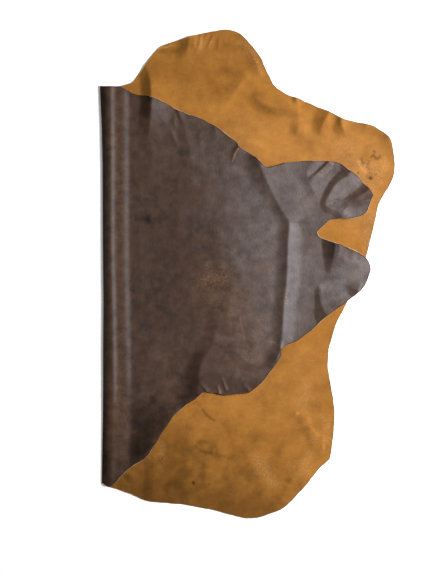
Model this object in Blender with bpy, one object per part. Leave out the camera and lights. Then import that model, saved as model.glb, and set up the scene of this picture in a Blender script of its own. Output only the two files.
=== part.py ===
# A tanned cattle hide in one piece, laid flesh side up, its left part folded over once so
# that the dark grain side shows on the flap. Lengths in the tables are millimetres, x to
# the right of a line along the fold's outer edge and y up from about the middle of the
# hide's length.
# The model is in metres, +Z up, lying on z = 0 with its origin under the middle of its box.
import bpy
import bmesh
import numpy as np
from mathutils import Vector
from mathutils.geometry import delaunay_2d_cdt

MM = 0.001
THICKNESS = 2.2
LAYER_GAP = 1.6            # air between the flap and the layer under it
LOWER_MIDDLE = THICKNESS / 2                            # height of each layer's middle surface
FLAP_MIDDLE = LOWER_MIDDLE + THICKNESS + LAYER_GAP

RIM_STEP = 22.0            # spacing of the points along the cut edge
FLAT_STEP = 42.0           # spacing of the points where the leather lies flat
FLAT_ROW = 0.87            # spacing of their rows, as a share of that
FOLD_STEP = 34.0           # spacing of the points along the fold
CREASE_STEP = 18.0         # spacing of the points along a crease
CURVE_STEP = 1.5           # spacing of the points that measure the fold's section
PATH_STEP = 8.0            # spacing of the points that measure a crease's crest
RIM_CLEAR = 5.0            # least distance between points where the cut edge meets the fold
FOLD_CLEAR = 8.0           # least distance of a point along the fold from the cut edge
CREASE_CLEAR = 9.0         # least distance of a point along a crease from the others
FLAT_CLEAR = 26.0          # least distance of a flat point from the others
APART = 4.0                # least distance between points that were made together

SLOPE_SHARES = (1.0, 0.5, 0.0, -0.25, -0.5, -1.0)      # where points stand on a crease's slopes
SETTLE = (50.0, 70.0)      # creases of the lower layer fade in between these, off the fold
LIFT = (96.0, 132.0)       # and those of the flap between these
CORNER_RISE = (11.0, 1.0)  # how far the fold's outer corner is worn back at the butt and neck
CORNER_RUN = 15.0          # and how far along the leather that reaches
TINY = 1e-6                # keeps a division off zero
WELD = 1e-4                # flat points nearer than this become one
INSIDE_ONLY = 1            # asks for the triangles within the outline

LEATHER = {"colour": (0.078, 0.043, 0.029), "roughness": 0.48, "metallic": 0.0}

# The cut edge of the lower layer, from the top of the fold clockwise to its bottom.
LOWER_EDGE = (
    ("neck", ((60, 653), (108, 664), (136, 696), (156, 731), (181, 764), (214, 792),
              (262, 807), (345, 834), (432, 850), (474, 845), (507, 825), (561, 760),
              (580, 722), (612, 657), (640, 634), (684, 617), (711, 603))),
    ("fore shank", ((808, 558), (858, 537), (942, 517), (970, 503), (995, 484),
                    (1012, 460), (1024, 400), (1023, 348), (1009, 311), (985, 271),
                    (967, 235), (956, 184))),
    ("belly", ((926, 66), (895, -15), (850, -108), (816, -177), (793, -262), (789, -302),
               (791, -350), (809, -467), (811, -540), (801, -640), (785, -660))),
    ("butt", ((759, -690), (705, -754), (643, -815), (602, -839), (547, -857),
              (500, -858), (411, -836), (298, -813), (170, -800), (117, -780),
              (57, -758), (20, -747))),
)

# The cut edge of the flap, from the bottom of the fold anticlockwise to its top.
FLAP_EDGE = (
    ("butt", ((34, -744), (50, -731), (70, -708), (103, -679), (141, -655), (162, -638),
              (185, -601), (210, -561), (244, -510), (283, -471), (324, -443), (357, -419),
              (390, -420), (431, -428), (471, -425), (516, -417), (549, -393),
              (577, -360), (603, -326), (624, -291), (626, -270))),
    ("flank", ((641, -255), (661, -247), (684, -237), (707, -219), (740, -193), (789, -149),
               (845, -108), (885, -79), (910, -53), (929, -21), (938, 16), (922, 52),
               (881, 78), (829, 100), (782, 117), (761, 127), (753, 141), (761, 151))),
    ("shank", ((794, 181), (822, 187), (862, 189), (890, 193), (914, 203), (928, 219),
               (944, 259), (948, 271), (938, 290), (918, 312), (890, 342), (862, 363),
               (830, 384), (798, 389), (730, 391), (649, 386), (609, 374), (575, 371))),
    ("shoulder", ((541, 402), (516, 419), (495, 431), (483, 443), (474, 457), (453, 474),
                  (432, 490), (404, 511), (371, 528), (345, 543), (306, 555), (261, 576),
                  (226, 596), (193, 609), (161, 618), (121, 622), (95, 633), (68, 651))),
)

# The fold in section, from the lower layer round the outer edge and on to the flap, along
# the middle of the leather's thickness.
FOLD_SECTION = (
    # where, x, height
    ("lower layer lifts off", 50, LOWER_MIDDLE),
    ("under the roll", 25, 1.4),
    ("under the roll", 10.5, 2.6),
    ("outer edge", 3.5, 6.0),
    ("outer side", 5.4, 10.0),
    ("outer side", 11, 16.6),
    ("outer side", 19, 22.4),
    ("crest", 30, 25.0),
    ("falls to the shelf", 42, 21.4),
    ("shelf", 55, 19.7),
    ("second crest", 69, 18.7),
    ("falls to the flap", 82, 15.3),
    ("falls to the flap", 95, 11.9),
    ("flap sinks", 115, 10.2),
    ("flap sinks", 155, 8.2),
    ("flap sinks", 225, 6.1),
    ("flap lies flat", 330, FLAP_MIDDLE),
)
OUTER_EDGE_ROW = 3          # s is measured from this row

# How the fold changes along its length.
FOLD_RUN = (
    # y, outer edge moved right by, height as a share of the section's
    (660, -12, 0.94),
    (600, -9, 1.00),
    (510, -5, 1.00),
    (380, -2, 1.00),
    (110, -1, 1.00),
    (-100, 1, 1.00),
    (-270, 0, 1.00),
    (-400, 0, 0.92),
    (-520, -1, 0.78),
    (-620, -3, 0.62),
    (-750, -5, 0.40),
)

# Creases stand up as ridges. Each row is a point of the crest, and its widths are those of
# the slopes on the left and the right of someone who walks along the crest. A slope of
# hollow 1 is straight, and more is steeper at the crest.
CREASES = (
    # name, layer, how hollow the left and right slopes are, rows of (x, y, height, widths)
    ("neck ridge", "lower", 1.25, 1.6, ((158, 430, 0, 50, 60), (162, 475, 3.5, 46, 66),
                                        (166, 515, 9.5, 42, 74), (170, 556, 17, 39, 84),
                                        (172, 590, 22, 38, 90), (173, 622, 24, 39, 92),
                                        (171, 660, 21, 38, 92), (166, 695, 12, 38, 86),
                                        (166, 715, 6, 38, 76), (168, 735, 0, 38, 60))),
    ("neck step", "lower", 1.3, 1.4, ((293, 748, 0, 26, 44), (297, 773, 7, 30, 46),
                                      (302, 800, 9, 32, 48), (306, 831, 9, 34, 48))),
    ("neck side", "lower", 1.5, 1.5, ((565, 670, 0, 26, 18), (544, 716, 6, 30, 20),
                                      (530, 751, 6, 30, 20), (509, 782, 5, 26, 20),
                                      (474, 796, 0, 22, 18))),
    ("neck slant", "lower", 1.4, 1.4, ((432, 586, 1, 40, 40), (460, 628, 5, 40, 44),
                                       (488, 667, 5.5, 40, 44), (520, 702, 0, 36, 36))),
    ("shoulder crease", "lower", 1.5, 1.5, ((681, 572, 6, 30, 60), (635, 576, 13, 34, 70),
                                            (592, 580, 15, 38, 70), (562, 590, 14, 38, 70),
                                            (542, 608, 9, 36, 60), (529, 630, 0, 30, 44))),
    ("edge wave", "lower", 1.3, 1.4, ((680, 474, 0, 26, 50), (684, 500, 10, 28, 52),
                                      (686, 536, 2, 26, 52), (684, 588, 2, 18, 54),
                                      (680, 602, 9, 18, 54), (679, 622, 15, 20, 54))),
    ("edge wave", "lower", 1.3, 1.3, ((761, 478, 0, 36, 32), (768, 509, 14, 38, 32),
                                      (782, 537, 21, 42, 32), (800, 567, 22, 44, 32))),
    ("edge wave", "lower", 1.3, 1.2, ((852, 471, 0, 26, 50), (847, 495, 12, 30, 66),
                                      (836, 520, 19, 34, 76), (835, 551, 21, 34, 80))),
    ("edge wave", "lower", 1.5, 1.5, ((915, 481, 0, 44, 36), (922, 523, 7, 46, 36))),
    ("edge wave", "lower", 1.5, 1.5, ((1011, 432, 3, 40, 14), (1000, 480, 6, 42, 14))),
    ("butt wave", "lower", 1.4, 1.6, ((177, -793, 3, 40, 46), (177, -695, 5, 40, 46),
                                      (180, -635, 5, 40, 46), (187, -583, 0, 38, 40))),
    ("butt wave", "lower", 1.4, 1.5, ((93, -744, 3, 40, 36), (96, -674, 4, 40, 36))),
    ("long crease", "flap", 1.7, 1.35, ((623, -264, 5.2, 28, 40), (629, -198, 8, 36, 44),
                                        (635, -103, 8.6, 38, 47), (644, -23, 8.6, 38, 48),
                                        (648, 100, 8.8, 38, 50), (651, 140, 8.6, 37, 46),
                                        (653, 163, 7.8, 36, 38), (652, 176, 6.6, 34, 38),
                                        (649, 187, 6, 34, 110), (637, 204, 5.5, 34, 170),
                                        (614, 243, 6, 38, 210), (583, 303, 8, 46, 230),
                                        (558, 359, 12, 54, 230), (550, 401, 16, 56, 230))),
    ("shank pouch", "flap", 1.1, 1.0, ((840, 217, 1, 18, 24), (819, 221, 4, 19, 26),
                                       (800, 225, 5, 19, 27), (785, 231, 5, 19, 29),
                                       (780, 243, 5.2, 18, 34), (787, 261, 6.5, 18, 42),
                                       (798, 281, 7.5, 19, 50), (810, 301, 8.5, 20, 58),
                                       (830, 321, 9.5, 23, 64), (858, 339, 10, 31, 68),
                                       (872, 364, 10.5, 42, 70))),
    ("shank streak", "flap", 1.1, 1.2, ((840, 238, 0.5, 14, 28), (867, 250, 5, 19, 32),
                                        (897, 265, 10, 24, 34), (922, 281, 11.5, 27, 36),
                                        (942, 297, 8, 28, 36))),
    ("shank tip", "flap", 1.2, 1.1, ((838, 190, 4.5, 34, 66), (841, 206, 4, 30, 70),
                                     (850, 222, 3, 20, 70), (874, 236, 4, 17, 64),
                                     (908, 246, 8, 20, 54), (945, 257, 9.5, 22, 44))),
    ("flank wedge", "flap", 1.15, 1.0, ((796, -20, 0, 14, 95), (800, 5, 3, 18, 114),
                                        (804, 34, 9, 28, 128), (810, 65, 17, 38, 138),
                                        (815, 100, 23, 45, 143), (818, 125, 24, 46, 144))),
    ("flank hem", "flap", 1.2, 1.15, ((790, -152, 15, 50, 100), (774, -131, 11, 36, 100),
                                      (764, -103, 6, 20, 100), (760, -68, 3.5, 16, 96),
                                      (762, -33, 0, 14, 90))),
    ("butt step", "flap", 1.5, 1.4, ((331, -422, 9, 60, 330), (338, -373, 12, 54, 330),
                                     (341, -331, 12, 46, 330), (359, -292, 8, 42, 320),
                                     (383, -254, 5, 42, 300), (400, -200, 2.5, 42, 280),
                                     (420, -130, 1, 42, 260), (435, -60, 0, 40, 240))),
    ("hem curl", "flap", 1.2, 1.2, ((100, -675, 2, 40, 20), (150, -632, 8, 56, 20),
                                    (190, -580, 12, 66, 20), (220, -535, 11, 66, 20),
                                    (262, -480, 3, 50, 20))),
    ("neck ridge foot", "flap", 1.4, 1.5, ((171, 480, 0, 50, 40), (174, 436, 3, 66, 46),
                                           (176, 380, 3, 66, 48), (178, 320, 0, 50, 44))),
    ("left sag", "flap", 1.5, 1.5, ((145, -331, 0, 36, 44), (166, -268, 3, 38, 48),
                                    (191, -208, 0, 36, 44))),
    ("nick", "flap", 1.3, 1.4, ((455, 385, 0, 12, 30), (464, 415, 3.5, 14, 34),
                                (484, 444, 6, 16, 36))),
)


def edgePoints(edge):
    return [point for _stretch, points in edge for point in points]


def through(points, step, closed=False):
    # Points about step apart on a smooth curve through the given points.
    points = np.array(points, float)
    if closed:
        before, after = points[-1:], points[:2]
    else:
        before, after = 2 * points[:1] - points[1:2], 2 * points[-1:] - points[-2:-1]
    ring = np.vstack((before, points, after))
    made = []
    for a, b, c, d in zip(ring[:-3], ring[1:-2], ring[2:-1], ring[3:]):
        count = max(1, round(float(np.linalg.norm((c - b)[:2])) / step))
        for t in np.arange(count) / count:
            made.append(0.5 * (2 * b + (c - a) * t + (2 * a - 5 * b + 4 * c - d) * t ** 2
                               + (3 * b - a - 3 * c + d) * t ** 3))
    if not closed:
        made.append(points[-1])
    return np.array(made)


class Fold:
    # The section as a curve whose length along the leather is s: 0 at the fold's outer
    # edge, positive on the lower layer and negative on the flap.
    def __init__(self):
        rows = [(x, z) for _where, x, z in FOLD_SECTION]
        curve = through(rows, CURVE_STEP)
        run = np.r_[0, np.cumsum(np.linalg.norm(np.diff(curve, axis=0), axis=1))]
        outer = int(np.argmin(np.linalg.norm(curve - rows[OUTER_EDGE_ROW], axis=1)))
        self.s = (run[outer] - run)[::-1]
        self.x = curve[::-1, 0]
        self.z = curve[::-1, 1]
        knots = [int(np.argmin(np.linalg.norm(curve - row, axis=1))) for row in rows]
        self.knots = [run[outer] - run[k] for k in knots]
        self.run_y, self.run_shift, self.run_share = np.array(FOLD_RUN[::-1], float).T

    def flat(self, x, flap):
        # The length along the leather of the point that lies x from the fold.
        side = self.s <= 0 if flap else self.s >= 0
        s, near = self.s[side], self.x[side]
        order = np.argsort(near)
        inside = np.interp(x, near[order], s[order])
        beyond = max(0.0, x - near.max())
        return inside + (-beyond if flap else beyond)

    def place(self, s, y):
        # Plan x and height of the smooth sheet at s, before creases are added.
        x = np.interp(s, self.s, self.x)
        z = np.interp(s, self.s, self.z)
        x = x + np.maximum(0, s - self.s[-1]) + np.maximum(0, self.s[0] - s)
        rise = np.clip((self.s[-1] - s) / (self.s[-1] - self.s[0]), 0, 1)
        rest = self.z[-1] + (self.z[0] - self.z[-1]) * rise ** 2 * (3 - 2 * rise)
        share = np.interp(y, self.run_y, self.run_share)
        return x + np.interp(y, self.run_y, self.run_shift), rest + share * (z - rest)


def creaseHeight(x, y, layer):
    # The height that the creases of one layer add at each point.
    total = np.zeros(len(x))
    for _name, on, leftHollow, rightHollow, rows in CREASES:
        if on != layer:
            continue
        path = through(rows, PATH_STEP)
        best = np.full(len(x), np.inf)
        height = np.zeros(len(x))
        last = len(path) - 2
        for k, (a, b) in enumerate(zip(path[:-1], path[1:])):
            along = b[:2] - a[:2]
            long = np.linalg.norm(along)
            passed = ((x - a[0]) * along[0] + (y - a[1]) * along[1]) / long ** 2
            t = np.clip(passed, 0, 1)
            dx, dy = x - a[0] - t * along[0], y - a[1] - t * along[1]
            away = np.hypot(dx, dy)
            # 1 on the left and 0 on the right, turning from one to the other round the ends
            turn = (along[0] * dy - along[1] * dx) / long / np.maximum(away, TINY)
            left = (1 + np.clip(turn, -1, 1)) / 2
            onLeft, onRight = a[3] + t * (b[3] - a[3]), a[4] + t * (b[4] - a[4])
            slope = np.clip(1 - away / (left * onLeft + (1 - left) * onRight), 0, 1)
            if k in (0, last):
                beyond = np.maximum(0, passed - 1 if k == last else -passed) * long
                slope *= np.clip(1 - beyond / np.minimum(onLeft, onRight), 0, 1)
            hollow = left * leftHollow + (1 - left) * rightHollow
            here = (a[2] + t * (b[2] - a[2])) * slope ** hollow
            nearer = away < best
            best = np.where(nearer, away, best)
            height = np.where(nearer, here, height)
        total += height
    return total


def creasePoints(fold, flap):
    # Points along the crest and the slopes of each crease, in the flat hide. The flap lies
    # over the creases of the lower layer, so it has points for those as well.
    made = []
    for _name, layer, _leftHollow, _rightHollow, rows in CREASES:
        if layer == "flap" and not flap:
            continue
        path = through(rows, CREASE_STEP)
        walk = np.gradient(path[:, :2], axis=0)
        left = np.stack((-walk[:, 1], walk[:, 0]), 1)
        left /= np.linalg.norm(left, axis=1)[:, None]
        for share in SLOPE_SHARES:
            width = path[:, 3] if share > 0 else path[:, 4]
            for x, y in path[:, :2] + left * (width * share)[:, None]:
                made.append((fold.flat(x, flap), y))
    return made


def inside(points, rim):
    # Which points lie within the closed outline.
    x, y = points[:, 0], points[:, 1]
    odd = np.zeros(len(points), bool)
    for (x0, y0), (x1, y1) in zip(rim, np.roll(rim, -1, axis=0)):
        if y0 != y1:
            odd ^= ((y0 > y) != (y1 > y)) & (x < x0 + (y - y0) * (x1 - x0) / (y1 - y0))
    return odd


def clearOf(points, others, least):
    # The points that keep their distance from the others and from each other.
    others = np.array(others)
    clear = []
    for point in points:
        if np.min(np.hypot(*(others - point).T)) < least:
            continue
        if clear and np.min(np.hypot(*(np.array(clear) - point).T)) < APART:
            continue
        clear.append(point)
    return np.array(clear)


def across(fold, start, end, rise):
    # The cut edge where it runs round the fold, with a point at each row of the section and
    # its worn corner.
    (s0, y0), (s1, y1) = start, end
    low, high = min(s0, s1) + RIM_CLEAR, max(s0, s1) - RIM_CLEAR
    rows = sorted((s for s in fold.knots if low < s < high), reverse=s0 > s1)
    return [(s, y0 + (y1 - y0) * (s - s0) / (s1 - s0) + rise * np.exp(-(s / CORNER_RUN) ** 2))
            for s in rows]


def flatHide(fold):
    # The hide spread out flat: its outline and the points that its shape needs.
    lower = [(fold.flat(x, False), y) for x, y in edgePoints(LOWER_EDGE)]
    flap = [(fold.flat(x, True), y) for x, y in edgePoints(FLAP_EDGE)]
    bottom = across(fold, lower[-1], flap[0], CORNER_RISE[0])
    top = across(fold, flap[-1], lower[0], CORNER_RISE[1])
    rim = through(lower + bottom + flap + top, RIM_STEP, closed=True)
    kept = [tuple(point) for point in rim]
    chosen = []
    low, high = rim[:, 1].min(), rim[:, 1].max()
    rows = np.arange(low, high, FOLD_STEP)
    columns = np.array([(s, y) for s in fold.knots for y in rows])
    left, right = rim[:, 0].min(), rim[:, 0].max()
    net = np.array([(s + (row % 2) * FLAT_STEP / 2, y)
                    for row, y in enumerate(np.arange(low, high, FLAT_STEP * FLAT_ROW))
                    for s in np.arange(left, right, FLAT_STEP)])
    creases = np.array(creasePoints(fold, False) + creasePoints(fold, True))
    for points, least in ((columns, FOLD_CLEAR), (creases, CREASE_CLEAR), (net, FLAT_CLEAR)):
        points = points[inside(points, rim)]
        points = clearOf(points, kept, least)
        kept += [tuple(point) for point in points]
        chosen.append(points)
    return rim, np.vstack(chosen)


def foldedHide(fold):
    rim, within = flatHide(fold)
    count = len(rim)
    flat = [Vector(point) for point in np.vstack((rim, within))]
    made = delaunay_2d_cdt(flat, [], [list(range(count))], INSIDE_ONLY, WELD)
    points = np.array([tuple(point) for point in made[0]])
    s, y = points.T
    x, z = fold.place(s, y)
    lower = creaseHeight(x, y, "lower")
    flap = creaseHeight(x, y, "flap")
    settled = np.interp(x, SETTLE, (0, 1))
    lifted = np.interp(x, LIFT, (0, 1))
    z = z + np.where(s > 0, lower * settled, (lower + flap) * lifted)
    return np.stack((x, y, z), 1), made[2]


def leather():
    material = bpy.data.materials.new("leather")
    material.use_nodes = True
    shader = material.node_tree.nodes["Principled BSDF"]
    shader.inputs["Base Color"].default_value = (*LEATHER["colour"], 1)
    shader.inputs["Roughness"].default_value = LEATHER["roughness"]
    shader.inputs["Metallic"].default_value = LEATHER["metallic"]
    return material


def hide():
    points, faces = foldedHide(Fold())
    points[:, 0] -= (points[:, 0].min() - THICKNESS / 2 + points[:, 0].max()) / 2
    points[:, 1] -= (points[:, 1].min() + points[:, 1].max()) / 2
    mesh = bpy.data.meshes.new("hide")
    form = bmesh.new()
    corners = [form.verts.new(point) for point in points * MM]
    for face in faces:
        form.faces.new([corners[i] for i in face])
    bmesh.ops.recalc_face_normals(form, faces=form.faces)
    form.to_mesh(mesh)
    form.free()
    mesh.materials.append(leather())
    mesh.shade_smooth()
    piece = bpy.data.objects.new("hide", mesh)
    bpy.context.scene.collection.objects.link(piece)
    shell = piece.modifiers.new("thickness", "SOLIDIFY")
    shell.thickness = THICKNESS * MM
    shell.offset = 0.0
    shell.use_even_offset = True
    return piece


for old in list(bpy.data.objects):
    bpy.data.objects.remove(old)
hide()
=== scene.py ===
import math

import bpy
import numpy as np
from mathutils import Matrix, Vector, kdtree
from mathutils.geometry import delaunay_2d_cdt


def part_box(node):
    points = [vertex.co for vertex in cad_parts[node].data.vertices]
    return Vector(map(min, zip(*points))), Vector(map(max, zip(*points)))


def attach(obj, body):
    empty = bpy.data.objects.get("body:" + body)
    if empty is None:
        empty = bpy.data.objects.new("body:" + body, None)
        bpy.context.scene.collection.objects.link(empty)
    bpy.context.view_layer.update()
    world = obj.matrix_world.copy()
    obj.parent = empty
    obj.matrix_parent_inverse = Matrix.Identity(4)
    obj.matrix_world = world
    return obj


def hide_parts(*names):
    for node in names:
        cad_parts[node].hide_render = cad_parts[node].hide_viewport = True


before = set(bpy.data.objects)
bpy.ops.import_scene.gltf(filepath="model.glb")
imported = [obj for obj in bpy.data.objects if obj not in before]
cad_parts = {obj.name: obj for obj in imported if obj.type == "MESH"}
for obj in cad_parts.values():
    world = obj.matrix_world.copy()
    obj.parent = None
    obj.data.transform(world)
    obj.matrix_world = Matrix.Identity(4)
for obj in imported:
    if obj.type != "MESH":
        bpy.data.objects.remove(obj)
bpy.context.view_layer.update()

mm = 0.001

# The tables are in millimetres: x to the right of a line along the fold's outer edge, y up
# from about the middle of the hide's length.

# Cut edge of the lower layer, clockwise from the top of the fold.
lowerEdge = (
    ("neck", ((60, 653), (112, 664), (139, 696), (163, 730), (185, 763), (216, 791), (259, 808),
        (345, 834), (432, 850), (474, 845), (507, 825), (561, 761), (578, 723), (611, 658), (640, 633),
        (679, 615), (711, 603))),
    ("fore shank", ((808, 559), (858, 535), (942, 518), (970, 504), (997, 486), (1015, 461), (1024, 400),
        (1023, 348), (1009, 311), (985, 271), (967, 235), (956, 184))),
    ("belly", ((926, 66), (895, -15), (853, -108), (819, -177), (794, -262), (790, -302), (792, -350),
        (811, -467), (812, -540), (801, -640), (788, -663))),
    ("butt", ((760, -690), (707, -755), (645, -818), (602, -840), (547, -857), (500, -858), (411, -836),
        (298, -813), (170, -800), (117, -780), (57, -758), (20, -747))),
)

# Cut edge of the flap, on from there to the top of the fold.
flapEdge = (
    ("butt", ((34, -744), (50, -731), (70, -708), (103, -679), (141, -655), (162, -638), (185, -601),
        (210, -561), (244, -510), (283, -471), (324, -443), (357, -419), (390, -420), (431, -428),
        (471, -425), (516, -417), (549, -393), (577, -360), (603, -326), (624, -291), (626, -270))),
    ("flank", ((641, -255), (661, -247), (684, -237), (707, -219), (740, -193), (789, -149), (845, -108),
        (885, -79), (910, -53), (929, -21), (938, 16), (922, 52), (881, 78), (829, 100), (782, 117),
        (761, 127), (753, 141), (761, 151))),
    ("shank", ((794, 181), (822, 187), (862, 189), (890, 193), (914, 203), (928, 219), (944, 259),
        (948, 271), (938, 290), (918, 312), (890, 342), (862, 363), (830, 384), (798, 389), (730, 391),
        (649, 386), (609, 374), (575, 371))),
    ("shoulder", ((541, 402), (516, 419), (495, 431), (483, 443), (474, 457), (453, 474), (432, 490),
        (404, 511), (371, 528), (345, 543), (306, 555), (261, 576), (226, 596), (193, 609), (161, 618),
        (121, 622), (95, 633), (68, 651))),
)

foldSettings = {
    # (x, height) of the middle of the leather, from the lower layer round to the flap
    "section": ((50, 1.1), (25, 1.4), (10.5, 2.6), (3.5, 6.0), (4.3, 8.8), (6.8, 12.2), (10.9, 16.6),
                (19, 22.4), (25, 24.6), (30, 25.0), (36, 23.5), (42, 21.4), (50, 20.0), (60, 19.4),
                (69, 18.8), (78, 17.2), (86, 14.6), (94, 12.2), (104, 11.0), (130, 9.3), (180, 7.2),
                (250, 5.6), (330, 4.9)),
    "sectionStep": 0.8,
    "outerEdgeRow": 3,
    # (y, outer edge moved right by, ridges moved right by as well, share of the height)
    "run": ((-750, -5, 4, 0.44), (-620, -3, 6, 0.62), (-520, -1, 8, 0.78), (-400, 0, 9, 0.92),
            (-270, 0, 8, 1.00), (-100, 1, 4, 1.00), (110, -1, 2, 1.00), (380, -2, 3, 1.00),
            (510, -5, 5, 1.00), (600, -9, 8, 0.93), (660, -12, 11, 0.86)),
    # (x, share of the ridges' move): the roll moves whole and the flap beyond it stays
    "ridgesMove": ((5, 0), (30, 1), (90, 1), (200, 0)),
}

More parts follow.
